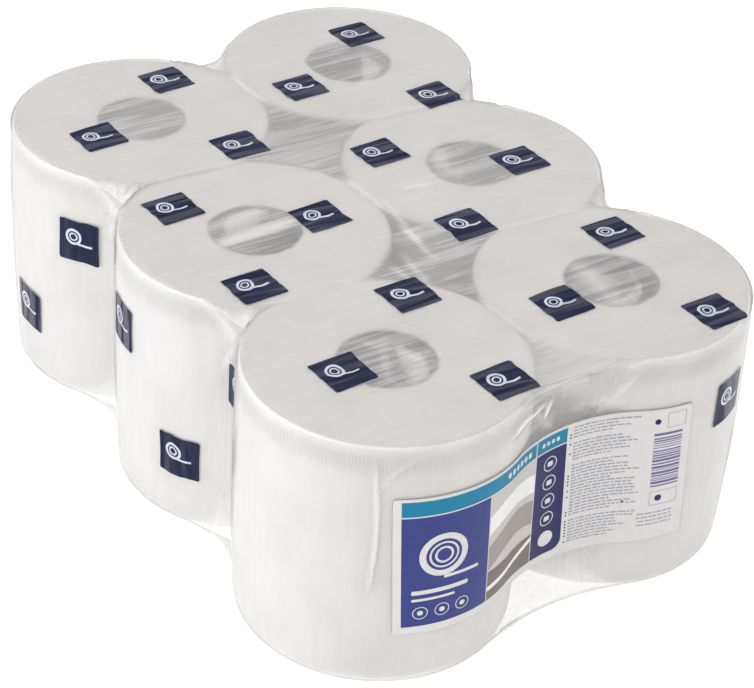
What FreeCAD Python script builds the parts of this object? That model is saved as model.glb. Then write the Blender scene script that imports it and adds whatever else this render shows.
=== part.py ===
import FreeCAD, Part
import math
import os

import Sketcher
from FreeCAD import Placement, Rotation, Vector

# Pack of centrefeed paper rolls: six coreless rolls stand in two columns of three, and one tight
# film wrap holds them. A wide paper label is stuck across the hollow between the two front rolls.
# Frame: origin under the middle of the pack, +X to the right along the label end, +Y to the back
# along the three rows, +Z up.

os.makedirs("parts", exist_ok=True)
doc = FreeCAD.newDocument("centrefeed_roll_pack")

# ---------------------------------------------------------------- driving dimensions (mm)
DIMENSIONS = [
    ("roll_diameter", 190.0),     # free diameter of one roll
    ("roll_height", 190.0),       # width of the paper web, which is the height of a standing roll
    ("bore_diameter", 62.0),      # hole left where the winding mandrel was drawn out
    ("head_edge", 4.0),           # soft outer edge of a roll at its head, sloped at 45 degrees
    ("foot_edge", 5.0),           # the same at its foot, which carries the weight
    ("tail_gauge", 1.2),          # thickness of the loose inner end of the paper
    ("tail_radius", 24.0),        # radius that the loose end curls to
    ("tail_sweep", 150.0),        # angle of that curl, in degrees
    ("column_pitch", 184.6),      # left roll to right roll, squeezed against each other
    ("row_pitch", 174.0),         # roll to roll along the pack, squeezed harder by the film
    ("column_stagger", 7.9),      # the right column stands this much further back
    ("row_drift", 4.0),           # each row stands this much further right than the one before
    ("film_gauge", 0.5),          # film thickness
    ("film_play", 0.6),           # room between the film and the round side of a roll
    ("film_edge", 3.5),           # sloped edge of the film over the rolls' outer edges
    ("hollow_radius", 34.0),      # the film dips between two rolls in an arc tangent to both
    ("web_depth", 26.0),          # how far in the film spans from roll to roll at head and foot
    ("web_fall", 45.0),           # height over which that span slopes down into the hollow
    ("label_hollow_radius", 100.0),   # the label stiffens the front hollow, which stays shallow
    ("label_web_depth", 15.0),
    ("label_web_fall", 36.0),
    ("label_left", -142.0),
    ("label_right", 90.0),
    ("label_foot", 42.0),
    ("label_height", 110.0),
    ("label_gauge", 0.5),
]

sheet = doc.addObject("Spreadsheet::Sheet", "Sizes")
for line, (alias, value) in enumerate(DIMENSIONS, start=1):
    sheet.set(f"A{line}", alias)
    sheet.set(f"B{line}", str(value))
    sheet.setAlias(f"B{line}", alias)
doc.recompute()


def size(alias):
    """One driving dimension, read from the sheet."""
    return float(getattr(sheet, alias))


ROLLS = {
    "roll_front_left": (-1, -1, 10.0),
    "roll_front_right": (1, -1, 205.0),
    "roll_middle_left": (-1, 0, 300.0),
    "roll_middle_right": (1, 0, 95.0),
    "roll_back_left": (-1, 1, 150.0),
    "roll_back_right": (1, 1, 250.0),
}   # name: column side, row, direction in degrees in which its loose inner end hangs


def roll_axis(column, row):
    """Where a roll's axis stands: a lattice that leans by the stagger and the drift."""
    x = column * size("column_pitch") / 2 + row * size("row_drift")
    y = row * size("row_pitch") + column * size("column_stagger") / 2
    return Vector(x, y, 0)


# ---------------------------------------------------------------- rolls
def origin_plane(body, role):
    return next(feature for feature in body.Origin.OriginFeatures if feature.Role == role)


def new_sketch(body, name, role):
    sketch = body.newObject("Sketcher::SketchObject", name)
    sketch.AttachmentSupport = [(origin_plane(body, role), "")]
    sketch.MapMode = "FlatFace"
    return sketch


def add_rectangle(sketch, left, bottom, right, top):
    """Draw a closed rectangle and return its bottom, right, top and left line numbers."""
    corners = [Vector(left, bottom, 0), Vector(right, bottom, 0),
               Vector(right, top, 0), Vector(left, top, 0)]
    lines = [sketch.addGeometry(Part.LineSegment(corners[n], corners[(n + 1) % 4]), False)
             for n in range(4)]
    for n in range(4):
        sketch.addConstraint(Sketcher.Constraint("Coincident", lines[n], 2, lines[(n + 1) % 4], 1))
    for n in (0, 2):
        sketch.addConstraint(Sketcher.Constraint("Horizontal", lines[n]))
    for n in (1, 3):
        sketch.addConstraint(Sketcher.Constraint("Vertical", lines[n]))
    return lines


def drive(sketch, constraint, formula):
    """Add a length constraint and bind it to the sheet."""
    number = sketch.addConstraint(constraint)
    sketch.setExpression(f"Constraints[{number}]", formula)


def wind_roll(body):
    """The wound web: a plain ring, turned about the roll's axis."""
    radius = size("roll_diameter") / 2
    bore = size("bore_diameter") / 2
    sketch = new_sketch(body, "WebSection", "XZ_Plane")
    foot, outside, head, inside = add_rectangle(sketch, bore, 0, radius, size("roll_height"))
    drive(sketch, Sketcher.Constraint("DistanceX", -1, 1, inside, 2, bore),
          "Sizes.bore_diameter / 2")
    drive(sketch, Sketcher.Constraint("DistanceX", -1, 1, outside, 1, radius),
          "Sizes.roll_diameter / 2")
    drive(sketch, Sketcher.Constraint("DistanceY", outside, 1, outside, 2, size("roll_height")),
          "Sizes.roll_height")
    sketch.addConstraint(Sketcher.Constraint("PointOnObject", foot, 1, -1))
    turn = body.newObject("PartDesign::Revolution", "Winding")
    turn.Profile = sketch
    turn.ReferenceAxis = (sketch, ["V_Axis"])
    turn.Angle = 360
    doc.recompute()
    return turn


def soften_edge(body, base, name, height, alias):
    """Slope the outer edge of the roll at one height."""
    radius = size("roll_diameter") / 2
    edges = [f"Edge{n}" for n, edge in enumerate(base.Shape.Edges, start=1)
             if abs(edge.BoundBox.ZMin - height) < 0.01
             and abs(edge.BoundBox.ZMax - height) < 0.01
             and abs(edge.BoundBox.XMax - radius) < 0.01]
    slope = body.newObject("PartDesign::Chamfer", name)
    slope.Base = (base, edges)
    slope.setExpression("Size", f"Sizes.{alias}")
    doc.recompute()
    return slope


def press_flat(body, name, direction, spacing):
    """Flatten the side that is squeezed against a neighbour: direction in degrees and the
    formula of the distance to its axis."""
    radius = size("roll_diameter") / 2
    before = body.Tip.Shape.Volume
    sketch = new_sketch(body, f"{name}Outline", "XY_Plane")
    sketch.setExpression("AttachmentOffset.Rotation.Angle", direction)
    reach = size("column_pitch") / 2
    foot, outside, head, inside = add_rectangle(sketch, reach, -radius, reach + radius, radius)
    drive(sketch, Sketcher.Constraint("DistanceX", -1, 1, inside, 1, reach), f"({spacing}) / 2")
    drive(sketch, Sketcher.Constraint("DistanceX", foot, 1, foot, 2, radius),
          "Sizes.roll_diameter / 2")
    drive(sketch, Sketcher.Constraint("DistanceY", inside, 2, -1, 1, radius),
          "Sizes.roll_diameter / 2")
    drive(sketch, Sketcher.Constraint("DistanceY", -1, 1, inside, 1, radius),
          "Sizes.roll_diameter / 2")
    flat = body.newObject("PartDesign::Pocket", name)
    flat.Profile = sketch
    flat.Type = "ThroughAll"
    flat.Midplane = True
    doc.recompute()
    if not flat.Shape.Volume < before:
        raise RuntimeError(f"{body.Label}: {name} cut nothing")


def hang_tail(body, direction):
    """The loose inner end of the web: a strip that leaves the bore wall and curls inwards."""
    bore = size("bore_diameter") / 2
    curl = size("tail_radius")
    gauge = size("tail_gauge")
    start = math.radians(direction)
    finish = math.radians(direction + size("tail_sweep"))
    middle = (start + finish) / 2
    shift = bore - curl + gauge / 2
    centre = Vector(shift * math.cos(start), shift * math.sin(start), 0)

    def on_curl(radius, angle):
        return centre + Vector(radius * math.cos(angle), radius * math.sin(angle), 0)

    outer = Part.Arc(on_curl(curl, start), on_curl(curl, middle), on_curl(curl, finish))
    inner_radius = curl - gauge
    inner = Part.Arc(on_curl(inner_radius, start), on_curl(inner_radius, middle),
                     on_curl(inner_radius, finish))
    sketch = new_sketch(body, "TailOutline", "XY_Plane")
    sketch.addGeometry(outer, False)
    sketch.addGeometry(inner, False)
    sketch.addGeometry(Part.LineSegment(on_curl(inner_radius, start), on_curl(curl, start)), False)
    sketch.addGeometry(Part.LineSegment(on_curl(curl, finish), on_curl(inner_radius, finish)),
                       False)
    strip = body.newObject("PartDesign::Pad", "Tail")
    strip.Profile = sketch
    strip.setExpression("Length", "Sizes.roll_height")
    doc.recompute()


COLUMN_TURN = "atan(Sizes.column_stagger / Sizes.column_pitch)"
ROW_TURN = "90 deg - atan(Sizes.row_drift / Sizes.row_pitch)"
COLUMN_SPACING = "sqrt(Sizes.column_pitch ^ 2 + Sizes.column_stagger ^ 2)"
ROW_SPACING = "sqrt(Sizes.row_pitch ^ 2 + Sizes.row_drift ^ 2)"


def make_roll(name, column, row, tail_direction):
    body = doc.addObject("PartDesign::Body", name)
    body.Label = name
    turn = wind_roll(body)
    head = soften_edge(body, turn, "HeadEdge", size("roll_height"), "head_edge")
    soften_edge(body, head, "FootEdge", 0.0, "foot_edge")
    side_turn = COLUMN_TURN if column < 0 else f"180 deg + {COLUMN_TURN}"
    press_flat(body, "SideFlat", side_turn, COLUMN_SPACING)
    if row < 1:
        press_flat(body, "BackFlat", ROW_TURN, ROW_SPACING)
    if row > -1:
        press_flat(body, "FrontFlat", f"180 deg + {ROW_TURN}", ROW_SPACING)
    hang_tail(body, tail_direction)
    body.Placement = Placement(roll_axis(column, row) + Vector(0, 0, size("film_gauge")),
                               Rotation())
    return body


# ---------------------------------------------------------------- film wrap
AROUND = ["roll_front_left", "roll_front_right", "roll_middle_right",
          "roll_back_right", "roll_back_left", "roll_middle_left"]   # anticlockwise from above


def film_size(number, alias):
    """A size of the film's hollow after roll `number`: the first one carries the label."""
    prefix = "label_" if number == 0 else ""
    return size(prefix + alias)


def hollows():
    """For each pair of neighbours round the pack: both axes, the outward direction between them
    and the centre of the arc that the film dips in."""
    free = size("roll_diameter") / 2
    axes = [roll_axis(*ROLLS[name][:2]) for name in AROUND]
    found = []
    for number, axis in enumerate(axes):
        following = axes[(number + 1) % len(axes)]
        half = (following - axis) * 0.5
        outward = Vector(half.y, -half.x, 0).normalize()
        reach = free + film_size(number, "hollow_radius")
        centre = axis + half + outward * math.sqrt(reach ** 2 - half.Length ** 2)
        found.append((axis, following, outward, centre))
    return found


def film_outline(offset, height):
    """Closed outline round the rolls and through the hollows, `offset` outside the rolls."""
    free = size("roll_diameter") / 2
    radius = free + offset
    lift = Vector(0, 0, height)
    dips = []
    for number, (axis, following, outward, centre) in enumerate(hollows()):
        hollow = film_size(number, "hollow_radius")
        share = radius / (free + hollow)
        leave = axis + (centre - axis) * share
        meet = following + (centre - following) * share
        dips.append((axis, leave, centre - outward * (hollow - offset), meet))
    edges = []
    for number, (axis, leave, deepest, meet) in enumerate(dips):
        arrive = dips[number - 1][3]
        outward = (arrive - axis) + (leave - axis)
        if (arrive - axis).cross(leave - axis).z < 0:
            outward = outward * -1
        crest = axis + outward.normalize() * radius
        edges.append(Part.Arc(arrive + lift, crest + lift, leave + lift).toShape())
        edges.append(Part.Arc(leave + lift, deepest + lift, meet + lift).toShape())
    return Part.Wire(edges)


def film_prism(offset, foot, head):
    """Straight walls on the film's outline."""
    return Part.Face(film_outline(offset, foot)).extrude(Vector(0, 0, head - foot))


def film_web(number, offset, level, rise):
    """Solid under one flat span of film, from roll to roll at the head or foot of a hollow, that
    slopes into the hollow. rise is 1 at the head, where it falls, and -1 at the foot."""
    free = size("roll_diameter") / 2
    axis, following, outward, centre = hollows()[number]
    middle = (axis + following) * 0.5
    hollow = film_size(number, "hollow_radius")
    fall = film_size(number, "web_fall")
    span = free + offset - film_size(number, "web_depth")
    deepest = (centre - middle).Length - hollow + offset
    buried = deepest - (span - deepest)
    corners = [(buried, 0), (span, 0), (buried, 2 * fall)]
    ends = following - axis
    section = [axis + outward * reach + Vector(0, 0, level - rise * drop)
               for reach, drop in corners]
    return Part.Face(Part.makePolygon(section + section[:1])).extrude(ends)


def film_body(offset, foot, head):
    """Solid inside a skin that lies `offset` outside the rolls, between two heights."""
    edge = size("film_edge") + offset
    solid = film_prism(offset, foot + edge, head - edge)
    for level, rise in ((foot, -1), (head, 1)):
        rim = [film_outline(offset - edge, level), film_outline(offset, level - rise * edge)]
        solid = solid.fuse(Part.makeLoft(rim, True, True))
    webs = [film_web(number, offset, level, rise)
            for number in range(len(AROUND)) for level, rise in ((foot, -1), (head, 1))]
    return solid.fuse(webs).removeSplitter()


def make_film():
    gauge = size("film_gauge")
    play = size("film_play")
    height = size("roll_height") + 2 * gauge
    film = doc.addObject("Part::Feature", "film_wrap")
    film.Label = "film_wrap"
    film.Shape = film_body(play + gauge, 0.0, height).cut(film_body(play, gauge, height - gauge))
    return film


# ---------------------------------------------------------------- label
def make_label():
    under = size("film_play") + size("film_gauge")
    foot = size("label_foot")
    head = foot + size("label_height")
    band = film_prism(under + size("label_gauge"), foot, head).cut(film_prism(under, foot, head))
    reach = size("row_pitch") + size("roll_diameter")
    window = Part.makeBox(size("label_right") - size("label_left"), size("roll_diameter"),
                          size("label_height"), Vector(size("label_left"), -reach, foot))
    label = doc.addObject("Part::Feature", "label")
    label.Label = "label"
    label.Shape = band.common(window)
    return label


# ---------------------------------------------------------------- build, check, export
subparts = [make_roll(name, *place) for name, place in ROLLS.items()]
subparts.append(make_film())
subparts.append(make_label())
doc.recompute()

for item in doc.Objects:
    if "Invalid" in item.State or "Error" in item.State:
        raise RuntimeError(f"{item.Label} failed: {item.State}")
for part in subparts:
    if part.Shape.isNull() or not part.Shape.isValid():
        raise RuntimeError(f"{part.Label} has no valid shape")
    part.Shape.exportStep(f"parts/{part.Label}.step")
    print(part.Label, len(part.Shape.Solids), "solid", round(part.Shape.Volume), "mm3")
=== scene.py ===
import math
import bmesh
import bpy
import numpy as np
from mathutils import Matrix, Vector
from mathutils.geometry import delaunay_2d_cdt


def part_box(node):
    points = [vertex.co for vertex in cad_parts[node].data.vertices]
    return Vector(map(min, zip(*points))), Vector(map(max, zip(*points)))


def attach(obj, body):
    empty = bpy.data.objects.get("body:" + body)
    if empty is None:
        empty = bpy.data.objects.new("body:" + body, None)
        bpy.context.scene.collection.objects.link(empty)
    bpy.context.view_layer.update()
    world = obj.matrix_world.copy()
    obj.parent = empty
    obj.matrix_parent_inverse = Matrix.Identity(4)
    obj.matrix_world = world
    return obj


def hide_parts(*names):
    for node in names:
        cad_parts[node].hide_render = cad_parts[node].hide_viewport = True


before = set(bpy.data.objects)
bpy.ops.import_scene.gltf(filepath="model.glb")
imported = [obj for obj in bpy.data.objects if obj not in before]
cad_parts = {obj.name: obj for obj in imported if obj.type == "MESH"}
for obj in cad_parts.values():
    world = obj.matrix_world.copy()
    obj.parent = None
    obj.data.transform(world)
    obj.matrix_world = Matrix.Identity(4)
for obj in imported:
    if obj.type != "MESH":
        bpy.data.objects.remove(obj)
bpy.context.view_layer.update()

# ------------------------------------------------------------------ rolls
# Six coreless rolls of creped wiping paper, wound from a wide web and standing on end. The paper
# is soft, so the heads are slightly uneven, the edges are rounded, and the inner end of the web
# hangs loose in the bore, where the paper is drawn from.
MM = 0.001
# for each roll, its axis, where its tail leaves the bore's wall, in degrees, and how far the
# tail's head flops inwards; all but the directions in millimetres
ROLLS = {
    "roll_front_left": ((-96.3, -177.95), 265, 17),
    "roll_front_right": ((88.3, -170.05), 205, 11),
    "roll_middle_left": ((-92.3, -3.95), 40, 24),
    "roll_middle_right": ((92.3, 3.95), 95, 13),
    "roll_back_left": ((-88.3, 170.05), 150, 10),
    "roll_back_right": ((96.3, 177.95), 250, 15),
}
ROLL_RADIUS = 95 * MM
BORE_RADIUS = 31 * MM
TAIL_RADIUS = 24 * MM
TAIL_SWEEP = math.radians(150)
TAIL_GRID = (44, 31)
ROLL_COLUMNS = 150
ROUND_HEAD = 2 * MM
ROUND_FOOT = 5 * MM
# how far a roll swells at its foot, halfway and at its head
BARREL = (-2.0 * MM, 0.8 * MM, -0.7 * MM)
# the knurled band fades in over the first pair of heights, and out over the second, downwards
KNURL_RISE = (168 * MM, 178 * MM)
KNURL_FALL = (188 * MM, 184 * MM)
KNURL_PITCH = 2.4 * MM
NOISE_GRID = (97, 89)


def linear(code):
    """An sRGB hex value as the linear colour that a shader takes."""
    shares = [int(code[i:i + 2], 16) / 255 for i in (0, 2, 4)]
    return (*[s / 12.92 if s <= 0.04045 else ((s + 0.055) / 1.055) ** 2.4 for s in shares], 1.0)


def add(tree, kind, inputs=None, **settings):
    """Adds a node with its settings. An input is a value, a socket to link from, or a node whose
    first output it takes."""
    made = tree.nodes.new(kind)
    for name, value in settings.items():
        setattr(made, name, value)
    for key, value in (inputs or {}).items():
        if isinstance(value, bpy.types.Node):
            value = value.outputs[0]
        if isinstance(value, bpy.types.NodeSocket):
            tree.links.new(value, made.inputs[key])
        else:
            made.inputs[key].default_value = value
    return made


def new_material(name):
    """A material and its node tree, which is empty."""
    material = bpy.data.materials.new(name)
    material.use_nodes = True
    material.node_tree.nodes.clear()
    return material, material.node_tree


def stretched_noise(tree, place, cell, inputs):
    """Noise on a sheet's own map, with cells of two different sides, cell, in metres."""
    scaled = add(tree, "ShaderNodeMapping", {"Vector": place, "Scale": (1 / cell[0], 1 / cell[1], 1)})
    return add(tree, "ShaderNodeTexNoise", {"Vector": scaled, "Scale": 1.0, **inputs})


def new_piece(name, points, faces, materials=(), uvs=None):
    """A mesh object at the origin. uvs is one pair for each point."""
    mesh = bpy.data.meshes.new(name)
    mesh.from_pydata([tuple(p) for p in points], [], [tuple(f) for f in faces])
    mesh.polygons.foreach_set("use_smooth", [True] * len(mesh.polygons))
    for material in materials:
        mesh.materials.append(material)
    if uvs is not None:
        layer = mesh.uv_layers.new(name="sheet")
        corner = np.zeros(len(mesh.loops), np.int32)
        mesh.loops.foreach_get("vertex_index", corner)
        layer.data.foreach_set("uv", np.asarray(uvs, np.float32)[corner].ravel())
    mesh.update()
    piece = bpy.data.objects.new(name, mesh)
    bpy.context.scene.collection.objects.link(piece)
    return piece


def rough(along, across, length, width, seed):
    """Smooth random heights from -1 to 1, in cells of length by width."""
    rows, columns = NOISE_GRID
    grid = np.random.default_rng(seed).uniform(-1, 1, NOISE_GRID)
    x, y = np.asarray(along) / length, np.asarray(across) / width
    i, j = np.floor(x).astype(int), np.floor(y).astype(int)
    fx, fy = x - i, y - j
    fx, fy = fx * fx * (3 - 2 * fx), fy * fy * (3 - 2 * fy)
    i, j, next_i, next_j = i % rows, j % columns, (i + 1) % rows, (j + 1) % columns
    low = grid[i, j] * (1 - fx) + grid[next_i, j] * fx
    high = grid[i, next_j] * (1 - fx) + grid[next_i, next_j] * fx
    return low * (1 - fy) + high * fy


def barrel(share):
    """How far a roll or the film round it swells at a share of the height, from foot to head."""
    foot, middle, head = BARREL
    return foot + (4 * middle - 3 * foot - head) * share + 2 * (foot + head - 2 * middle) * share ** 2


def roll_profile(radius, height):
    """Half section of a roll as (distance from the axis, height), closed, from the bore's foot."""
    lip = 1.2 * MM
    quarter = np.linspace(0, math.pi / 2, 5)
    bore = [(BORE_RADIUS, z) for z in np.linspace(lip, height - lip, 9)]
    lips = [(BORE_RADIUS + lip * (1 - math.cos(a)), height - lip + lip * math.sin(a))
            for a in quarter[1:]]
    head = [(r, height) for r in np.linspace(BORE_RADIUS + lip, radius - ROUND_HEAD, 26)[1:]]
    shoulder = [(radius - ROUND_HEAD * (1 - math.sin(a)), height - ROUND_HEAD * (1 - math.cos(a)))
                for a in quarter[1:]]
    side = [(radius, z) for z in np.linspace(height - ROUND_HEAD, ROUND_FOOT, 34)[1:]]
    heel = [(radius - ROUND_FOOT * (1 - math.cos(a)), ROUND_FOOT * (1 - math.sin(a)))
            for a in quarter[1:]]
    foot = [(r, 0.0) for r in np.linspace(radius - ROUND_FOOT, BORE_RADIUS + lip, 12)[1:]]
    sill = [(BORE_RADIUS + lip * (1 - math.sin(a)), lip * (1 - math.cos(a))) for a in quarter[1:-1]]
    return np.array(bore + lips + head + shoulder + side + heel + foot + sill)


def grid_faces(index):
    """The four-sided faces of a sheet whose points are numbered by a grid."""
    corners = [index[:-1, :-1], index[1:, :-1], index[1:, 1:], index[:-1, 1:]]
    return np.stack(corners, -1).reshape(-1, 4)


def loose_tail(name, seed, foot, height):
    """The last half turn of a roll's web, loose from the bore's wall and crumpled at its head, as
    points, places on the web, and a grid that numbers them."""
    centre, start, flop = ROLLS[name]
    centre, start, flop = Vector(centre) * MM, math.radians(start), flop * MM
    sweep, rise = np.meshgrid(np.linspace(0, TAIL_SWEEP, TAIL_GRID[0]), np.linspace(0, 1, TAIL_GRID[1]),
                              indexing="ij")
    loose = np.sin(math.pi * sweep / TAIL_SWEEP)
    waver = rough(sweep * 14, rise * 12, 4, 2, seed + 4)
    curl = TAIL_RADIUS + 1.6 * MM * waver * sweep / TAIL_SWEEP
    upright = np.minimum(rise / 0.8, 1)
    fallen = np.clip((rise - 0.8) / 0.2, 0, 1)
    crumple = 1 + 0.35 * rough(sweep, rise, 0.22, 0.3, seed + 6)
    curl = curl - flop * crumple * loose ** 0.6 * fallen
    top = height - (2.2 + 1.2 * rough(sweep, sweep * 0, 0.35, 1, seed + 5)) * MM
    level = foot + 2 * MM + (top - 2 * MM) * upright - 2.5 * MM * fallen ** 2 * crumple
    offset = BORE_RADIUS - TAIL_RADIUS - 0.8 * MM
    points = np.stack([centre.x + offset * math.cos(start) + curl * np.cos(start + sweep),
                       centre.y + offset * math.sin(start) + curl * np.sin(start + sweep),
                       level], -1)
    web = np.stack([sweep * TAIL_RADIUS, rise * height], -1)
    return points, web, np.arange(sweep.size).reshape(TAIL_GRID)


def wind_roll(name, seed, material):
    """One roll, turned from its profile and loosened, with the tail in its bore."""
    low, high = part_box(name)
    centre, radius, height = Vector(ROLLS[name][0]) * MM, ROLL_RADIUS, high.z - low.z
    profile = roll_profile(radius, height)
    run = np.concatenate([[0], np.cumsum(np.linalg.norm(np.diff(profile, axis=0), axis=1))])
    columns, rows = ROLL_COLUMNS, len(profile)
    angle = np.linspace(0, 2 * math.pi, columns, endpoint=False)[:, None]
    reach = np.repeat(profile[None, :, 0], columns, 0)
    level = np.repeat(profile[None, :, 1], columns, 0)
    rim = np.clip((reach - BORE_RADIUS) / (radius - BORE_RADIUS), 0, 1)
    # the soft rolls are pressed flat where they touch
    squash = np.ones((columns, 1))
    for place, _, _ in ROLLS.values():
        away = Vector(place) * MM - centre
        if 0 < away.length < 2 * radius:
            facing = np.maximum(np.cos(angle - math.atan2(away.y, away.x)), 0.1)
            squash = np.minimum(squash, (away.length / 2 - 0.1 * MM) / (radius * facing))
    inner = 1 - np.clip((reach - BORE_RADIUS) / (3 * MM), 0, 1)
    # the noise takes the way round in 97ths of a turn
    turned = angle / (2 * math.pi) * 97
    sway = rough(turned, level, 8.0, 40 * MM, seed)
    ragged = rough(turned, level, 1.9, 9 * MM, seed + 1)
    step = rough(reach, turned, 1.6 * MM, 30.0, seed + 2)
    dish = rough(reach, turned, 22 * MM, 25.0, seed + 3)
    flat = np.clip(level / height * 8 - 7, 0, 1) * np.clip(rim * 20, 0, 1)
    # and their shoulders are crisper there
    pressed = 0.9 * np.clip((1 - squash) / 0.03, 0, 1)
    shoulder = (level > height - ROUND_HEAD) & (reach > radius - ROUND_HEAD - 1e-6)
    level = np.where(shoulder, height - (height - level) * (1 - pressed), level)
    reach = np.where(shoulder, radius - (radius - reach) * (1 - pressed), reach)
    swell = barrel(level / height) + (squash - 1) * radius
    grown = reach + swell * rim + 0.25 * MM * (sway - 1) * rim + 1.2 * MM * ragged * inner
    lifted = level - (0.25 * MM + 0.25 * MM * step + 0.35 * MM * dish) * flat
    lifted = lifted - 0.4 * MM * (1 + ragged) * inner * (level > height / 2)
    points = np.stack([centre.x + grown * np.cos(angle), centre.y + grown * np.sin(angle),
                       low.z + lifted], -1)
    uvs = np.stack([angle * reach, np.repeat(run[None, :], columns, 0)], -1)
    index = np.arange(columns * rows).reshape(columns, rows)
    after, above = np.roll(index, -1, 0), np.roll(index, -1, 1)
    corner = np.roll(after, -1, 1)
    faces = np.stack([index, above, corner, after], -1).reshape(-1, 4)
    tail, tail_web, tail_index = loose_tail(name, seed, low.z, height)
    roll = new_piece(
        name + "_paper",
        np.concatenate([points.reshape(-1, 3), tail.reshape(-1, 3)]),
        np.concatenate([faces, grid_faces(columns * rows + tail_index)]),
        [material],
        np.concatenate([uvs.reshape(-1, 2), tail_web.reshape(-1, 2)]),
    )
    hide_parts(name)
    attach(roll, "root")


# Creped tissue: a matt white paper whose fine crepe lines run along the roll's axis, and whose
# turns show as faint rings on the head. Crepe is about 0.4 mm apart and is drawn at 1.6 mm, and
# the turns, some 0.3 mm thick, are drawn at 1.5 mm, because finer ones wouldn't show.
def creped_paper():
    material, tree = new_material("creped_wiping_paper")
    place = add(tree, "ShaderNodeUVMap", uv_map="sheet")
    crepe = stretched_noise(tree, place, (1.6 * MM, 9 * MM), {"Detail": 3.0, "Roughness": 0.6})
    turns = stretched_noise(tree, place, (60 * MM, 1.5 * MM), {"Detail": 2.0})
    both = add(tree, "ShaderNodeMath", {0: crepe, 1: turns}, operation="ADD")
    whole = add(tree, "ShaderNodeTexCoord").outputs["Object"]
    # the edge of the web is knurled: short upright ticks in a band under the head, which wavers
    ticks = add(tree, "ShaderNodeTexWave",
                {"Vector": place, "Scale": 1 / (3.2 * KNURL_PITCH), "Distortion": 0.6, "Detail": 1.0},
                bands_direction="X")
    split = add(tree, "ShaderNodeSeparateXYZ", {0: whole})
    waver = add(tree, "ShaderNodeTexNoise", {"Vector": whole, "Scale": 90.0, "Detail": 1.0})
    height = add(tree, "ShaderNodeMath", {0: waver, 1: 5 * MM, 2: split.outputs["Z"]},
                 operation="MULTIPLY_ADD")
    above, below = [
        add(tree, "ShaderNodeMapRange", {"Value": height, "From Min": start, "From Max": end},
            interpolation_type="SMOOTHSTEP")
        for start, end in (KNURL_RISE, KNURL_FALL)]
    band = add(tree, "ShaderNodeMath", {0: above, 1: below}, operation="MULTIPLY")
    pressed_in = add(tree, "ShaderNodeMapRange", {"Value": ticks, "To Min": 0.35, "To Max": 1.0})
    knurl = add(tree, "ShaderNodeMath", {0: band, 1: pressed_in}, operation="MULTIPLY")
    raised = add(tree, "ShaderNodeMath", {0: knurl, 1: 5.0, 2: both}, operation="MULTIPLY_ADD")
    patch = add(tree, "ShaderNodeTexNoise", {"Vector": whole, "Scale": 30.0, "Detail": 2.0})
    tone = add(tree, "ShaderNodeValToRGB", {"Fac": patch})
    for stop, (position, code) in zip(tone.color_ramp.elements, ((0.35, "F6F4F1"), (0.65, "FCFAF8"))):
        stop.position = position
        stop.color = linear(code)
    # the turns at the bore's head are drawn in; the line of shadow they hold, 3 mm wide, is painted
    # shadow in the paper's colour, and the knurled band's ticks get painted shade too
    along = add(tree, "ShaderNodeSeparateXYZ", {0: place})
    from_lip = add(tree, "ShaderNodeMath", {0: along.outputs["Y"], 1: 188.6 * MM, 2: 1.5 * MM},
                   operation="COMPARE")
    # painted shade: the paper is darkened in the knurled band and along the bore's lip
    knurl_and_lip_shade = add(tree, "ShaderNodeMath", {0: knurl, 1: from_lip}, operation="MAXIMUM")
    darker = add(tree, "ShaderNodeMapRange", {"Value": knurl_and_lip_shade, "To Min": 1.0, "To Max": 0.85})
    lip = add(tree, "ShaderNodeMapRange", {"Value": from_lip, "To Min": 1.0, "To Max": 0.72})
    shaded = add(tree, "ShaderNodeMath", {0: darker, 1: lip}, operation="MULTIPLY")
    paper = add(tree, "ShaderNodeMix", {0: 1.0, 6: tone, 7: shaded},
                data_type="RGBA", blend_type="MULTIPLY")
    bump = add(tree, "ShaderNodeBump", {"Strength": 0.1, "Distance": 0.0006, "Height": raised})
    body = add(tree, "ShaderNodeBsdfPrincipled",
               {"Base Color": paper.outputs[2], "Roughness": 0.95, "IOR": 1.45, "Normal": bump,
                "Specular IOR Level": 0.2})
    add(tree, "ShaderNodeOutputMaterial", {"Surface": body})
    return material


wiping_paper = creped_paper()
for number, roll_name in enumerate(ROLLS):
    wind_roll(roll_name, 100 + 10 * number, wiping_paper)

# ------------------------------------------------------------------ film wrap
# One skin of thin polyethylene, shrunk tight round all six rolls. It is flat over the heads,
# follows each roll's side, and spans from roll to roll in the hollows, where nothing backs it.
# It is milky, glossy, and full of fine stretch lines that run across the pack.
AROUND = ["roll_front_left", "roll_front_right", "roll_middle_right",
          "roll_back_right", "roll_back_left", "roll_middle_left"]
START_ANGLE = math.radians(225)
# the film's rounding at its foot and head
FILM_ROUND = (4.5 * MM, 2.0 * MM)
FILM_LEVELS = 92
# depth of each hollow below the line that touches both rolls: at the foot, halfway and at the head
HOLLOW_DEPTHS = {
    0: (15.0, 22.0, 15.0),
    1: (24.0, 33.0, 27.0),
    2: (24.0, 33.0, 27.0),
    3: (27.0, 38.0, 28.0),
    4: (24.0, 33.0, 27.0),
    5: (24.0, 33.0, 27.0),
}
# how far from the foot or the head that depth changes to the one halfway
WEB_FALL = 48 * MM
# at its head the film falls away into each hollow, by the first of these and inwards by the second
SADDLES = {0: (2.0, 1.0), 1: (7.0, 5.0), 2: (7.0, 5.0), 3: (7.0, 5.0), 4: (13.0, 11.0), 5: (13.0, 11.0)}
SADDLE_REACH = 42 * MM
# spacing of the film's columns on the front left roll, beside it, and on the rest of the pack
COLUMN_STEP = (1.4 * MM, 1.8 * MM, 3.1 * MM)

film_low, film_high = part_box("film_wrap")
film_height = film_high.z - film_low.z
roll_axes = [Vector(ROLLS[roll_name][0]) * MM for roll_name in AROUND]
film_radius = film_high.x - max(axis.x for axis in roll_axes)


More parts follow.
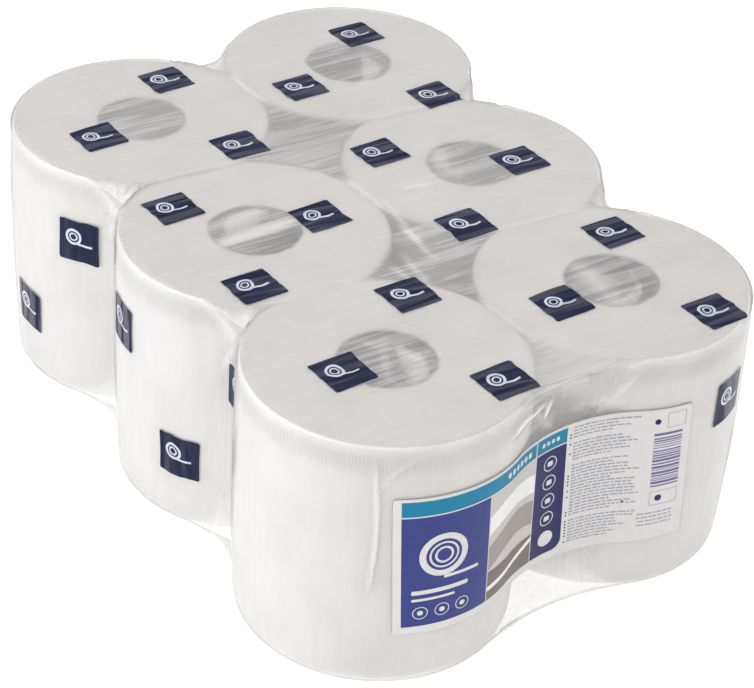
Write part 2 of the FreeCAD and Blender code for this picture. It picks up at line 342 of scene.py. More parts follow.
def hollow_at(number, share):
    """Radius and centre of the arc that dips into a hollow, at a share of the height."""
    foot, middle, head = [depth * MM for depth in HOLLOW_DEPTHS[number]]
    near_foot = max(0.0, 1 - share * film_height / WEB_FALL)
    near_head = max(0.0, 1 - (1 - share) * film_height / WEB_FALL)
    depth = middle + (foot - middle) * near_foot ** 1.5 + (head - middle) * near_head ** 1.5
    radius = film_radius + barrel(share)
    axis, following = roll_axes[number], roll_axes[(number + 1) % 6]
    half = (following - axis) / 2
    arc = (half.length_squared + depth ** 2) / (2 * depth) - radius
    outward = Vector((half.y, -half.x)).normalized()
    centre = axis + half + outward * math.sqrt((radius + arc) ** 2 - half.length_squared)
    return arc, centre


def arc_points(centre, radius, start, end, count):
    """Points and angles on an arc, without its last point."""
    angles = start + (end - start) * np.linspace(0, 1, count, endpoint=False)
    points = np.stack([centre.x + radius * np.cos(angles), centre.y + radius * np.sin(angles)], -1)
    return points, angles


def from_axes(x, y):
    """Distance from each place to the nearest roll's axis."""
    return np.min([np.hypot(x - axis.x, y - axis.y) for axis in roll_axes], 0)


def bearing(a, b):
    """The direction from a to b, as an angle."""
    return math.atan2(b.y - a.y, b.x - a.x)


def turn_on(start, end):
    """end, as the first such angle after start."""
    return start + (end - start) % (2 * math.pi)


def wall_row(share, counts=None):
    """The film's outline at a share of its height, anticlockwise from the front left roll, with its
    outward directions and how many columns each arc has. counts, from an earlier row, keeps the
    columns of all rows alike."""
    radius = film_radius + barrel(share)
    hollows = [hollow_at(number, share) for number in range(6)]
    runs = []
    for number in range(6):
        axis, following = roll_axes[number], roll_axes[(number + 1) % 6]
        arc, centre = hollows[number]
        arrive = START_ANGLE if number == 0 else bearing(axis, hollows[number - 1][1])
        leave = turn_on(arrive, bearing(axis, centre))
        runs.append((axis, radius, arrive, leave, 1))
        begin = bearing(centre, axis)
        stop = begin - (begin - bearing(centre, following)) % (2 * math.pi)
        runs.append((centre, arc, begin, stop, -1))
    last = bearing(roll_axes[0], hollows[5][1])
    runs.append((roll_axes[0], radius, last, turn_on(last, START_ANGLE), 1))
    if counts is None:
        # the front of the pack is drawn finer than its back
        finer = {0: 0, 1: 1, 2: 1, 11: 1, 12: 1}
        steps = [COLUMN_STEP[finer.get(number, 2)] for number in range(13)]
        counts = [max(6, round(abs(run[3] - run[2]) * run[1] / step)) for run, step in zip(runs, steps)]
    points, directions = [], []
    for (centre, size, begin, stop, sense), count in zip(runs, counts):
        place, angles = arc_points(centre, size, begin, stop, count)
        points.append(place)
        directions.append(sense * np.stack([np.cos(angles), np.sin(angles)], -1))
    return np.concatenate(points), np.concatenate(directions), counts


def wall_shape():
    """The film's side as rows of points, with outward directions, heights, runs round the pack, and
    how far each point falls with the head."""
    foot, head = FILM_ROUND
    quarter = np.linspace(0, math.pi / 2, 5)
    levels = [(foot * (1 - math.cos(a)), foot * (1 - math.sin(a)), math.sin(a)) for a in quarter[:-1]]
    levels += [(z, 0.0, 1.0) for z in np.linspace(foot, film_height - head, FILM_LEVELS)]
    levels += [(film_height - head * (1 - math.sin(a)), head * (1 - math.cos(a)), math.cos(a))
               for a in quarter[1:]]
    counts = wall_row(0.5)[2]
    # the falls in the hollows' heads stay clear of the rolls' edges
    head_row = wall_row(1.0, counts)[0]
    gap = from_axes(*head_row.T) - film_radius - barrel(1.0)
    fall, draw = np.zeros(sum(counts)), np.zeros(sum(counts))
    for number, (down, inwards) in SADDLES.items():
        begin, count = sum(counts[:2 * number + 1]), counts[2 * number + 1]
        span = slice(begin, begin + count)
        fall[span] = np.clip(1.1 * (gap[span] - 1.2 * MM), 0, down * MM)
        draw[span] = np.clip(0.6 * (gap[span] - 3 * MM), 0, inwards * MM)
    rows, outs, heights, runs, drops = [], [], [], [], []
    for level, inset, face in levels:
        place, direction, _ = wall_row(level / film_height, counts)
        top = max(0.0, 1 - (film_height - level) / SADDLE_REACH)
        inset = inset * (1 + draw / (4 * MM)) + draw * top ** 3
        length = np.linalg.norm(np.diff(place, axis=0, append=place[:1]), axis=1)
        tip = math.copysign(math.sqrt(max(0.0, 1 - face ** 2)), level - film_height / 2)
        rows.append(place - direction * inset[:, None])
        outs.append(np.concatenate([direction * face, np.full((len(place), 1), tip)], 1))
        heights.append(np.full(len(place), level))
        runs.append(np.concatenate([[0], np.cumsum(length)[:-1]]))
        drops.append(fall * top ** 2)
    return np.array(rows), np.array(outs), np.array(heights), np.array(runs), np.array(drops)


label_low, label_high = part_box("label")
middle_row = wall_row(0.5)[0]
middle_steps = np.linalg.norm(np.diff(middle_row, axis=0), axis=1)
middle_runs = np.concatenate([[0], np.cumsum(middle_steps)])
front_count = int(np.argmax(middle_row[:, 0] > label_high.x + 30 * MM))
LABEL_RUN = [float(np.interp(x, middle_row[:front_count, 0], middle_runs[:front_count]))
             for x in (label_low.x, label_high.x)]
LABEL_SIZE = ((LABEL_RUN[1] - LABEL_RUN[0]) / MM, (label_high.z - label_low.z) / MM)
# the wrap was shrunk after the label went on, and drew it out of square: its head leans to the
# left, and its left end sits higher than its right
LABEL_SHIFT = 3.6
LABEL_LEAN = 5.8
LABEL_RISE = (0.8, -1.2)


def fan(run, level, reach, headings, height, width):
    """Creases that fan out from a place where the film is pulled, at headings in degrees."""
    turns = [math.radians(heading) for heading in headings]
    ends = [(run + reach * math.cos(turn), level + reach * math.sin(turn)) for turn in turns]
    return [((run, level), end, height, width, width) for end in ends]


# Folds that the film has taken, as (start, end, height, width to the right, width to the left), looking
# from start to end, in millimetres, with the start and end as (run round the pack, height above the
# floor). Where one side is as narrow as TUCK the film has folded under itself there, and a line of
# painted shadow darkens it.
TUCK = 1.8
FOLDS = [
    # one long fold stands beside the label's left edge, folded under on its right, where a shadow line
    # is painted
    ((14, 186), (15, 72), 0.9, 3.4, 1.0),
    ((15, 152), (34, 178), 0.3, 1.6, 3.4),
    ((17, 163), (46, 184), 0.3, 1.6, 3.4),
    ((16, 140), (27, 153), 0.3, 1.4, 2.6),
    ((16, 76), (34, 92), 0.3, 3.0, 1.4),
    # the web over the front hollow is slack at its head, and is gathered to the left roll's edge
    ((108, 171), (152, 184), 1.9, 2.8, 2.0),
    ((151, 187), (146, 168), 1.7, 2.2, 3.4),
    ((112, 187), (200, 187), 0.8, 1.9, 1.9),
    ((124, 164), (168, 167), 0.5, 5.0, 5.0),
    ((168, 167), (222, 157), 0.5, 5.0, 5.0),
    # and it is drawn tight from the one roll's foot to the other's
    ((121, 6), (165, 28), 0.6, 5.0, 3.0),
    ((165, 28), (212, 9), 0.5, 2.0, 4.0),
]
# a few creases run out from under the label's right end, and two leave each end of every hollow
FOLDS += fan(225, 112, 60, (-62, -40, 38), 0.3, 3.5)
middle_counts = wall_row(0.5)[2]
run_ends = np.append(middle_runs, middle_runs[-1])[np.cumsum([0] + middle_counts)] / MM
for number in range(6):
    begin, stop = run_ends[2 * number + 1], run_ends[2 * number + 2]
    centre = (begin + stop) / 2
    lean = 3 * (-1) ** number
    FOLDS += [
        ((begin + 4, 186), (centre - 8, 142 + lean), 0.8, 5.0, 2.5),
        ((stop - 4, 186), (centre + 10, 150 - lean), 0.7, 2.5, 5.0),
        ((begin + 10, 3), (centre - 6, 36 - lean), 0.5, 5.0, 5.0),
        ((stop - 10, 3), (centre + 8, 30 + lean), 0.5, 5.0, 5.0),
    ]


def beside_line(x, y, start, end):
    """For each place, what share of the way from start to end it lies, how far to the right of
    that line, and the line's length. start and end are in millimetres."""
    a, b = np.array(start) * MM, np.array(end) * MM
    along = b - a
    length = np.linalg.norm(along)
    share = ((x - a[0]) * along[0] + (y - a[1]) * along[1]) / length ** 2
    off = ((x - a[0]) * along[1] - (y - a[1]) * along[0]) / length
    return share, off, length


def wall_relief(run, level):
    """How far wrinkles lift the film's side off its smooth shape, how much it lies double, and how much
    painted shadow darkens it in a line where it folds under itself."""
    share = level / film_height
    soft = 0.3 * MM * rough(run, level, 34 * MM, 70 * MM, 7)
    gathers = 0.05 * MM * rough(run, level, 9 * MM, 45 * MM, 8)
    ends = np.clip((np.abs(share - 0.5) - 0.42) / 0.08, 0, 1)
    puckers = 0.06 * MM * rough(run, level, 7 * MM, 16 * MM, 9) * ends
    relief = soft + gathers + puckers
    doubled, tuck_shadow = np.zeros(np.shape(run)), np.zeros(np.shape(run))
    for start, end, height, right, left in FOLDS:
        t, off, length = beside_line(run, level, start, end)
        # a fold bows a little to its left
        off = off + 0.04 * length * np.sin(math.pi * np.clip(t, 0, 1))
        ease = np.clip(np.minimum(t, 1 - t) * 4, 0, 1)
        ridge = np.exp(-(off / (np.where(off > 0, right, left) * MM)) ** 2) * ease
        relief = relief + height * MM * ridge
        doubled = np.maximum(doubled, ridge * min(1.0, 0.6 * height))
        # where a side is narrow the film folds under, and a line of painted shadow goes there
        for width, side_of in ((right, 1), (left, -1)):
            if width <= TUCK:
                under = np.exp(-((off - side_of * width * 0.7 * MM) / (0.8 * MM)) ** 2)
                tuck_shadow = np.maximum(tuck_shadow, under * ease * min(1.0, height))
    # the label holds the film smooth
    across = (run - LABEL_RUN[0]) / MM
    tilt = (LABEL_RISE[0] - LABEL_RISE[1]) * across / LABEL_SIZE[0]
    up = (level - label_low.z) / MM - LABEL_RISE[0] + tilt
    across = across - LABEL_SHIFT + LABEL_LEAN * up / LABEL_SIZE[1]
    margin = np.minimum.reduce([across, LABEL_SIZE[0] - across, up, LABEL_SIZE[1] - up])
    under_label = np.clip((margin + 9) / 8, 0, 1)
    clear = 1 - under_label
    return relief * clear - 0.15 * MM * under_label, doubled * clear, tuck_shadow * clear


def head_relief(x, y):
    """How far the film's flat head lies above its lowest even level: fine lines across the pack,
    a few long ones, and a slack sag where no roll backs it."""
    slack = np.clip((from_axes(x, y) - film_radius + 3 * MM) / (30 * MM), 0, 1)
    lines = 0.10 * MM * rough(x, y, 70 * MM, 8 * MM, 11)
    bent = y + 0.12 * x
    strings = 0.3 * MM * np.clip(rough(x, bent, 160 * MM, 13 * MM, 12) - 0.35, 0, 1)
    waves = 0.2 * MM * rough(x, y, 45 * MM, 30 * MM, 13)
    return lines + strings + waves * (1 + 1.5 * slack) - 1.6 * MM * slack


# Places on the head where the film lies double or has gone milky, as (start, end, how much, half
# width), in millimetres from the middle of the pack.
VEILS = [
    ((8, -3), (-4, -92), 0.5, 2.2),
    ((-1, -41), (-2, -93), 0.4, 2.0),
    ((-35, -83), (-32, -116), 0.4, 2.2),
    ((-19, -74), (-25, -123), 0.4, 2.0),
    ((26, -4), (52, -8), 0.5, 2.4),
    # across the middle left roll's bore, and along the front right one's
    ((-132, -10), (-52, -6), 0.45, 6.0),
    ((-130, 12), (-70, 14), 0.35, 4.0),
    ((76, -206), (78, -134), 0.3, 9.0),
    ((-112, -204), (-84, -152), 0.25, 3.0),
    ((-104, -148), (-72, -200), 0.25, 3.0),
    # and over all of the front gap
    ((-4, -180), (-6, -264), 0.15, 24.0),
]
# the film is also milky where it crosses from roll to roll
for number, (x, y) in enumerate(axis / MM for axis in roll_axes):
    for other_x, other_y in [axis / MM for axis in roll_axes[number + 1:]]:
        spacing = math.hypot(other_x - x, other_y - y)
        if spacing < 2 * ROLL_RADIUS / MM:
            half = math.sqrt((ROLL_RADIUS / MM) ** 2 - (spacing / 2) ** 2) + 6
            along = np.array([other_y - y, x - other_x]) / spacing * half
            middle = np.array([x + other_x, y + other_y]) / 2
            VEILS.append((middle - along, middle + along, 0.6, 2.6))


def veiled(x, y):
    """How much of the veils there is at each place."""
    found = np.zeros(np.shape(x))
    for start, end, strength, width in VEILS:
        t, off, _ = beside_line(x, y, start, end)
        ease = np.clip(np.minimum(t, 1 - t) * 5, 0, 1)
        found = np.maximum(found, strength * ease * np.exp(-(off / (width * MM)) ** 2))
    return found


def milky(fallen):
    """How milky the film has gone where its head falls away into a hollow."""
    return 0.55 * np.clip(fallen / (7 * MM), 0, 1)


def outside_rolls(x, y):
    """How far a place on the head lies outside all the rolls."""
    return np.maximum(from_axes(x, y) - film_radius, 0)


def unbacked(x, y):
    """Up to 1 where no paper lies right behind the film's head, over a bore or a gap, and 0
    elsewhere."""
    away = from_axes(x, y)
    # the film over the front gap is thick and even
    even = 1 - 0.6 * np.clip((-190 * MM - y) / (15 * MM), 0, 1)
    over_gap = np.clip((away - film_radius + 2 * MM) / (2 * MM), 0, 1) * even
    over_bore = np.clip((BORE_RADIUS + 1 * MM - away) / (2 * MM), 0, 1)
    return np.maximum(over_gap, over_bore)


wall_points, wall_outs, wall_levels, wall_runs, wall_drops = wall_shape()
wall_lift, wall_doubled, wall_tuck_shadow = wall_relief(wall_runs, wall_levels)
rim_fade = np.clip((1 - np.abs(wall_levels / film_height - 0.5) * 2) * 30, 0, 1)
side = np.concatenate([wall_points, (wall_levels - wall_drops)[..., None] + film_low.z], -1)
side = side + wall_outs * (wall_lift * rim_fade)[..., None]


def sheet_points(outline, step):
    """Points of a square lattice inside a closed outline and clear of it."""
    low, high = outline.min(0), outline.max(0)
    x, y = np.meshgrid(np.arange(low[0] + step, high[0], step), np.arange(low[1] + step, high[1], step))
    x, y = x.ravel(), y.ravel()
    inside = np.zeros(len(x), bool)
    near = np.full(len(x), np.inf)
    following = np.roll(outline, -1, 0)
    for (ax, ay), (bx, by) in zip(outline, following):
        if ay != by:
            crossing = ((ay > y) != (by > y)) & (x < (bx - ax) * (y - ay) / (by - ay) + ax)
            inside ^= crossing
        near = np.minimum(near, (x - ax) ** 2 + (y - ay) ** 2)
    keep = inside & (near > (0.6 * step) ** 2)
    return np.stack([x[keep], y[keep]], -1)


def flat_sheet(outline, step):
    """Triangles that fill a closed outline, as (points, faces); the outline's points come first."""
    inner = sheet_points(outline, step)
    count = len(outline)
    given = [Vector(p) for p in np.concatenate([outline, inner])]
    ring = [(i, (i + 1) % count) for i in range(count)]
    points, _, faces, _, _, _ = delaunay_2d_cdt(given, ring, [], 1, 1e-7)
    return np.array([tuple(p) for p in points]), faces


def film_skin():
    """The whole film as one closed mesh: its side, head and foot. Returns its points, faces and UVs, and
    for each point how unbacked and how doubled the film is there, and how much painted shadow lies where
    it folds under itself."""
    rows, columns = wall_levels.shape
    index = np.arange(rows * columns).reshape(rows, columns)
    after = np.roll(index, -1, 1)
    faces = np.stack([index[:-1], after[:-1], after[1:], index[1:]], -1).reshape(-1, 4).tolist()
    points = [side.reshape(-1, 3)]
    # the side's stretch lines run up and down, the head's across the pack
    straight = np.broadcast_to(wall_runs[rows // 2], wall_runs.shape)
    uvs = [np.stack([straight, wall_levels], -1).reshape(-1, 2)]
    away = from_axes(side[..., 0], side[..., 1]) - film_radius
    slacks = [np.clip((away - 1 * MM) / (6 * MM), 0, 1).ravel()]
    low_web = 0.7 * slacks[0] * np.clip(1 - wall_levels.ravel() / (50 * MM), 0, 1)
    doubles = [np.maximum(np.maximum(wall_doubled, milky(wall_drops)).ravel(), low_web)]
    tuck_shadows = [wall_tuck_shadow.ravel()]
    total = rows * columns
    for row, step, up in ((0, 9 * MM, False), (rows - 1, 2.8 * MM, True)):
        outline = side[row, :, :2]
        flat, triangles = flat_sheet(outline, step)
        target = np.full(len(flat), -1)
        lookup = {tuple(np.round(p, 7)): index[row, number] for number, p in enumerate(outline)}
        extra = []
        for number, place in enumerate(flat):
            known = lookup.get(tuple(np.round(place, 7)))
            if known is None:
                target[number] = total + len(extra)
                extra.append(place)
            else:
                target[number] = known
        extra = np.array(extra)
        apart = np.hypot(extra[:, :1] - outline[None, :, 0], extra[:, 1:] - outline[None, :, 1])
        beside = apart.argmin(1)
        fade = np.clip(apart.min(1) / (12 * MM), 0, 1)
        if up:
            # the head falls away in the hollows, from the rolls' edges to the film's own edge
            share = outside_rolls(*extra.T) / np.maximum(outside_rolls(*outline[beside].T), 1 * MM)
            nearby = np.clip((60 * MM - apart.min(1)) / (20 * MM), 0, 1)
            fallen = wall_drops[row, beside] * np.clip(share, 0, 1) * nearby
            level = film_high.z + head_relief(extra[:, 0], extra[:, 1]) * fade - fallen
        else:
            level = np.full(len(extra), film_low.z)
        points.append(np.concatenate([extra, level[:, None]], 1))
        uvs.append(extra[:, ::-1] + 3.0)
        slacks.append(unbacked(extra[:, 0], extra[:, 1]))
        doubles.append(np.maximum(veiled(*extra.T), milky(fallen)) if up else np.zeros(len(extra)))
        tuck_shadows.append(np.zeros(len(extra)))
        total += len(extra)
        for triangle in triangles:
            corners = [int(target[c]) for c in triangle]
            faces.append(corners if up else corners[::-1])
    shares = {"unbacked": slacks, "doubled": doubles, "tuck_shadow": tuck_shadows}
    shares = {name: np.concatenate(parts) for name, parts in shares.items()}
    return np.concatenate(points), faces, np.concatenate(uvs), shares


# Polyethylene film: clear but milky, with a soft gloss. Its haze is uneven, thicker along the
# stretch lines, which are about 2 mm apart and strongest over the heads, where it is pulled most.
# They are drawn 3.4 mm apart, because finer ones wouldn't show.
def stretch_film(name, backed, open_haze, cloud, lean, relief, string):
    """backed and open_haze are the least and most haze where paper lies behind the film and where
    it doesn't, cloud is the haze that drifts over both, more so by lean towards the back right, and
    string is that of the long creases. relief is the strength of the bump."""
    material, tree = new_material(name)
    place = add(tree, "ShaderNodeUVMap", uv_map="sheet")
    slack, doubled, tuck_shadow = [
        add(tree, "ShaderNodeAttribute", attribute_name=share).outputs["Fac"]
        for share in ("unbacked", "doubled", "tuck_shadow")]
    fine = stretched_noise(tree, place, (3.4 * MM, 80 * MM),
                           {"Detail": 2.5, "Roughness": 0.5, "Distortion": 0.5})
    broad = stretched_noise(tree, place, (14 * MM, 160 * MM), {"Detail": 1.5, "Distortion": 0.6})
    mixed = add(tree, "ShaderNodeMath", {0: broad, 1: 1.0, 2: fine}, operation="MULTIPLY_ADD")
    softer = add(tree, "ShaderNodeMath", {0: fine, 1: 0.35, 2: broad}, operation="MULTIPLY_ADD")
    over_paper, over_gap = [
        add(tree, "ShaderNodeMapRange",
            {"Value": lines, "From Min": start, "From Max": end, "To Min": least, "To Max": most},
            interpolation_type="SMOOTHSTEP")
        for lines, start, end, (least, most) in ((softer, 0.52, 0.82, backed),
                                                 (mixed, 0.88, 1.14, open_haze))]
    streaks = add(tree, "ShaderNodeMix", {0: slack, 2: over_paper, 3: over_gap}, data_type="FLOAT")
    drift = stretched_noise(tree, place, (90 * MM, 150 * MM), {"Detail": 1.0})
    # the film is thickest towards the back right corner, where it was drawn least
    whole = add(tree, "ShaderNodeTexCoord")
    corner_scale = add(tree, "ShaderNodeMapping",
                       {"Vector": whole.outputs["Object"], "Location": (-0.18, -0.18, 0),
                        "Rotation": (0, 0, math.radians(45)), "Scale": (0.52, 1, 1)},
                       vector_type="TEXTURE")
    corner = add(tree, "ShaderNodeTexGradient", {"Vector": corner_scale})
    gathered = add(tree, "ShaderNodeMath", {0: corner, 1: lean, 2: drift}, operation="MULTIPLY_ADD")
    thickened = add(tree, "ShaderNodeMapRange",
                    {"Value": gathered, "From Min": 0.50, "From Max": 0.80,
                     "To Min": 0.0, "To Max": cloud}, interpolation_type="SMOOTHSTEP")
    # long thin creases: where a slow noise passes one value, along the lines and, where no paper
    # lies behind the film, across them
    creases = []
    for cell in ((18 * MM, 280 * MM), (300 * MM, 44 * MM)):
        wander = stretched_noise(tree, place, cell, {"Detail": 1.0})
        offset = add(tree, "ShaderNodeMath", {0: wander, 1: 0.57}, operation="SUBTRACT")
        apart = add(tree, "ShaderNodeMath", {0: offset}, operation="ABSOLUTE")
        creases.append(add(tree, "ShaderNodeMapRange",
                           {"Value": apart, "From Min": 0.0, "From Max": 0.014,
                            "To Min": 1.0, "To Max": 0.0}))
    loose = add(tree, "ShaderNodeMath", {0: creases[1], 1: slack}, operation="MULTIPLY")
    crossed = add(tree, "ShaderNodeMath", {0: creases[0], 1: loose}, operation="MAXIMUM")
    scarce = add(tree, "ShaderNodeMapRange", {"Value": broad, "From Min": 0.50, "From Max": 0.62},
                 interpolation_type="SMOOTHSTEP")
    crease = add(tree, "ShaderNodeMath", {0: crossed, 1: scarce}, operation="MULTIPLY")
    creased = add(tree, "ShaderNodeMath", {0: crease, 1: string, 2: streaks}, operation="MULTIPLY_ADD")
    drifted = add(tree, "ShaderNodeMath", {0: creased, 1: thickened}, operation="ADD")
    haze = add(tree, "ShaderNodeMath", {0: doubled, 1: 0.6, 2: drifted},
               operation="MULTIPLY_ADD", use_clamp=True)
    bump = add(tree, "ShaderNodeBump", {"Strength": relief, "Distance": 0.0005, "Height": creased})
    clear = add(tree, "ShaderNodeBsdfTransparent")
    # painted shadow: where the film folds under itself its milk is darkened towards grey
    white = add(tree, "ShaderNodeMix", {0: tuck_shadow, 6: linear("FAF8F7"), 7: linear("7E7B78")},
                data_type="RGBA")
    milk = add(tree, "ShaderNodeBsdfDiffuse", {"Color": white.outputs[2]})
    through = add(tree, "ShaderNodeBsdfTranslucent", {"Color": white.outputs[2]})
    # where it lies double it throws light back, and passes less of it on
    passing = add(tree, "ShaderNodeMapRange", {"Value": doubled, "To Min": 0.6, "To Max": 0.1})
    cloudy = add(tree, "ShaderNodeMixShader", {0: passing, 1: milk, 2: through})
    body = add(tree, "ShaderNodeMixShader", {0: haze, 1: clear, 2: cloudy})
    sheen = add(tree, "ShaderNodeFresnel", {"IOR": 1.5, "Normal": bump})
    gloss = add(tree, "ShaderNodeBsdfGlossy", {"Roughness": 0.2, "Normal": bump})
    skin = add(tree, "ShaderNodeMixShader", {0: sheen, 1: body, 2: gloss})
    add(tree, "ShaderNodeOutputMaterial", {"Surface": skin})
    return material


film_points, film_faces, film_uvs, film_shares = film_skin()
film_materials = [
    stretch_film("film_on_sides", backed=(0.19, 0.23), open_haze=(0.16, 0.24),
                 cloud=0.08, lean=0.0, relief=0.05, string=0.0),
    stretch_film("film_on_ends", backed=(0.34, 0.40), open_haze=(0.30, 0.66),
                 cloud=0.28, lean=0.35, relief=0.10, string=0.12),
]
film = new_piece("film_skin", film_points, film_faces, film_materials, film_uvs)
side_faces = (wall_levels.shape[0] - 1) * wall_levels.shape[1]
on_ends = [0] * side_faces + [1] * (len(film_faces) - side_faces)
film.data.polygons.foreach_set("material_index", on_ends)
for attribute_name, values in film_shares.items():
    attribute = film.data.attributes.new(attribute_name, "FLOAT", "POINT")
    attribute.data.foreach_set("value", values.astype(np.float32))
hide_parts("film_wrap")
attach(film, "root")

# ------------------------------------------------------------------ printed squares
# The film is printed before it is drawn round the rolls: navy squares in a staggered lattice, each
# with a white roll end in it. On the pack they lie wherever the lattice falls, some over an edge.
SQUARE = 33 * MM
SQUARE_CORNER = 1.4 * MM
SQUARE_CUTS = 23
HEAD_PITCH = (85 * MM, 112 * MM)
HEAD_START = (-44 * MM, -10 * MM)
WALL_LEVELS = (58 * MM, 136 * MM)
WALL_PITCH = 118 * MM
INK_LIFT = 0.12 * MM
PRINT_WAVER = 3.6 * MM


def turned_to(outward, up):
    """Euler angles that point a flat piece's face along outward, with its top towards up."""
    face = Vector(outward).normalized()
    across = Vector(up).cross(face).normalized()
    return Matrix((across, face.cross(across), face)).transposed().to_euler()


def head_spots():
    """Where the lattice falls on the head, and over its edge, as (place, turn, stretch)."""
    spots = []
    rim = len(wall_levels) - 4
    rim_line = side[rim]
    for column in range(-3, 4):
        for row in range(-3, 4):
            x = HEAD_START[0] + column * HEAD_PITCH[0]
            y = HEAD_START[1] + (row + 0.5 * (column % 2)) * HEAD_PITCH[1]
            apart = np.hypot(rim_line[:, 0] - x, rim_line[:, 1] - y)
            nearest = int(apart.argmin())
            outward = Vector(wall_outs[rim, nearest])
            beyond = (Vector((x, y)) - Vector(rim_line[nearest, :2])).dot(outward.xy.normalized())
            if beyond < -0.55 * SQUARE:
                spots.append(((x, y, film_high.z), (0, 0, 0.05), (1, 1, 1)))
            elif beyond < 0.3 * SQUARE:
                along = Vector((outward.x, outward.y, 0)).normalized()
                turn = turned_to(along + Vector((0, 0, 1)), Vector((0, 0, 1)) - along)
                spots.append((rim_line[nearest], turn, (1, 1.3, 1)))
    return spots


def wall_spots():
    """Where the lattice falls on the film's side, away from the label."""
    spots = []
    length = wall_runs[len(wall_runs) // 2].max()
    for number, level in enumerate(WALL_LEVELS):
        row = int(np.abs(wall_levels[:, 0] - level).argmin())
        for column in range(int(length // WALL_PITCH)):
            run = (column + 0.5 * number + 0.1) * WALL_PITCH
            if LABEL_RUN[0] - SQUARE < run < LABEL_RUN[1] + SQUARE:
                continue
            place = int(np.abs(wall_runs[row] - run).argmin())
            spots.append((side[row, place], turned_to(wall_outs[row, place], (0, 0, 1)), (1, 1, 1)))
    return spots


def rounded_sheet(width, height, corner, columns, rows):
    """A flat sheet with rounded corners, centred on the origin, cut small enough to follow what it
    lies on. Returns the grids of x and y, and the faces."""
    half = (width / 2, height / 2)
    x, y = np.meshgrid(np.linspace(-half[0], half[0], columns), np.linspace(-half[1], half[1], rows),
                       indexing="ij")
    over_x, over_y = np.abs(x) - (half[0] - corner), np.abs(y) - (half[1] - corner)
    in_corner = (over_x > 0) & (over_y > 0)
    reach = np.hypot(over_x, over_y)
    ratio = np.where(in_corner & (reach > 0), np.maximum(over_x, over_y) / np.maximum(reach, 1e-9), 1.0)
    x = np.where(in_corner, np.sign(x) * (half[0] - corner + over_x * ratio), x)
    y = np.where(in_corner, np.sign(y) * (half[1] - corner + over_y * ratio), y)
    return x, y, grid_faces(np.arange(columns * rows).reshape(columns, rows))


def square_mesh():
    """One printed square."""
    x, y, faces = rounded_sheet(SQUARE, SQUARE, SQUARE_CORNER, SQUARE_CUTS, SQUARE_CUTS)
    return np.stack([x, y, x * 0], -1).reshape(-1, 3), faces


def roll_end_mesh():
    """The white figure in a square: a ring for a roll's end, and the web that comes off it."""
    points, faces = [], []
    x, y = -4.5 * MM, 3.5 * MM
    sides = 28
    for inner, outer in ((2.2 * MM, 3.4 * MM), (4.6 * MM, 6.6 * MM)):
        base = len(points)
        for number in range(sides):
            angle = number * 2 * math.pi / sides
            for reach in (inner, outer):
                points.append((x + reach * math.cos(angle), y + reach * math.sin(angle), 0))
        for number in range(sides):
            a, b = base + 2 * number, base + 2 * ((number + 1) % sides)
            faces.append((a, a + 1, b + 1, b))
    base = len(points)
    steps = 8
    for number in range(steps + 1):
        along = x + number * 1.9 * MM
        drop = 0.5 * MM * math.sin(number * 0.9)
        points += [(along, y - 6.6 * MM + drop, 0), (along, y - 4.9 * MM + drop, 0)]
    for number in range(steps):
        a = base + 2 * number
        faces.append((a, a + 2, a + 3, a + 1))
    return np.array(points), faces


def lay_on_film(name, material):
    """Geometry nodes: one flat figure on each spot, pressed onto the film and lifted off it.
    Returns the tree, and the identifier of each input by its name."""
    tree = bpy.data.node_groups.new(name, "GeometryNodeTree")
    tree.interface.new_socket("Geometry", in_out="OUTPUT", socket_type="NodeSocketGeometry")
    tree.interface.new_socket("Spots", in_out="INPUT", socket_type="NodeSocketGeometry")
    identifiers = {}
    for label, kind in (("Figure", "Object"), ("Film", "Object"), ("Lift", "Float"), ("Waver", "Float")):
        socket = tree.interface.new_socket(label, in_out="INPUT", socket_type="NodeSocket" + kind)
        identifiers[label] = socket.identifier
    given = add(tree, "NodeGroupInput")
    figure = add(tree, "GeometryNodeObjectInfo", {"Object": given.outputs["Figure"]})
    skin = add(tree, "GeometryNodeObjectInfo", {"Object": given.outputs["Film"]})
    turn, stretch = [
        add(tree, "GeometryNodeInputNamedAttribute", {"Name": label}, data_type="FLOAT_VECTOR")
        for label in ("turn", "stretch")]
    laid = add(tree, "GeometryNodeInstanceOnPoints",
               {"Points": given.outputs["Spots"], "Instance": figure.outputs["Geometry"],
                "Rotation": turn, "Scale": stretch})
    real = add(tree, "GeometryNodeRealizeInstances", {0: laid})
    # the film has shrunk unevenly, so the print's edges waver, most across the stretch lines
    where = add(tree, "GeometryNodeInputPosition")
    across_lines = add(tree, "ShaderNodeVectorMath", {0: where, 1: (28, 110, 22)}, operation="MULTIPLY")
    uneven = add(tree, "ShaderNodeTexNoise", {"Vector": across_lines, "Scale": 1.0, "Detail": 0.8})
    centred = add(tree, "ShaderNodeVectorMath", {0: uneven.outputs["Color"], 1: (0.5, 0.5, 0.5)},
                  operation="SUBTRACT")
    drawn = add(tree, "ShaderNodeVectorMath", {0: centred, "Scale": given.outputs["Waver"]},
                operation="SCALE")
    wavered = add(tree, "GeometryNodeSetPosition", {"Geometry": real, "Offset": drawn})
    nearest = add(tree, "GeometryNodeProximity", {0: skin.outputs["Geometry"]}, target_element="FACES")
    normal = add(tree, "GeometryNodeInputNormal")
    outward = add(tree, "GeometryNodeSampleNearestSurface",
                  {"Mesh": skin.outputs["Geometry"], "Value": normal}, data_type="FLOAT_VECTOR")
    rise = add(tree, "ShaderNodeVectorMath", {0: outward, "Scale": given.outputs["Lift"]},
               operation="SCALE")
    place = add(tree, "ShaderNodeVectorMath", {0: nearest.outputs["Position"], 1: rise},
                operation="ADD")
    pressed = add(tree, "GeometryNodeSetPosition", {"Geometry": wavered, "Position": place})
    inked = add(tree, "GeometryNodeSetMaterial", {"Geometry": pressed, "Material": material})
    add(tree, "NodeGroupOutput", {0: inked})
    return tree, identifiers


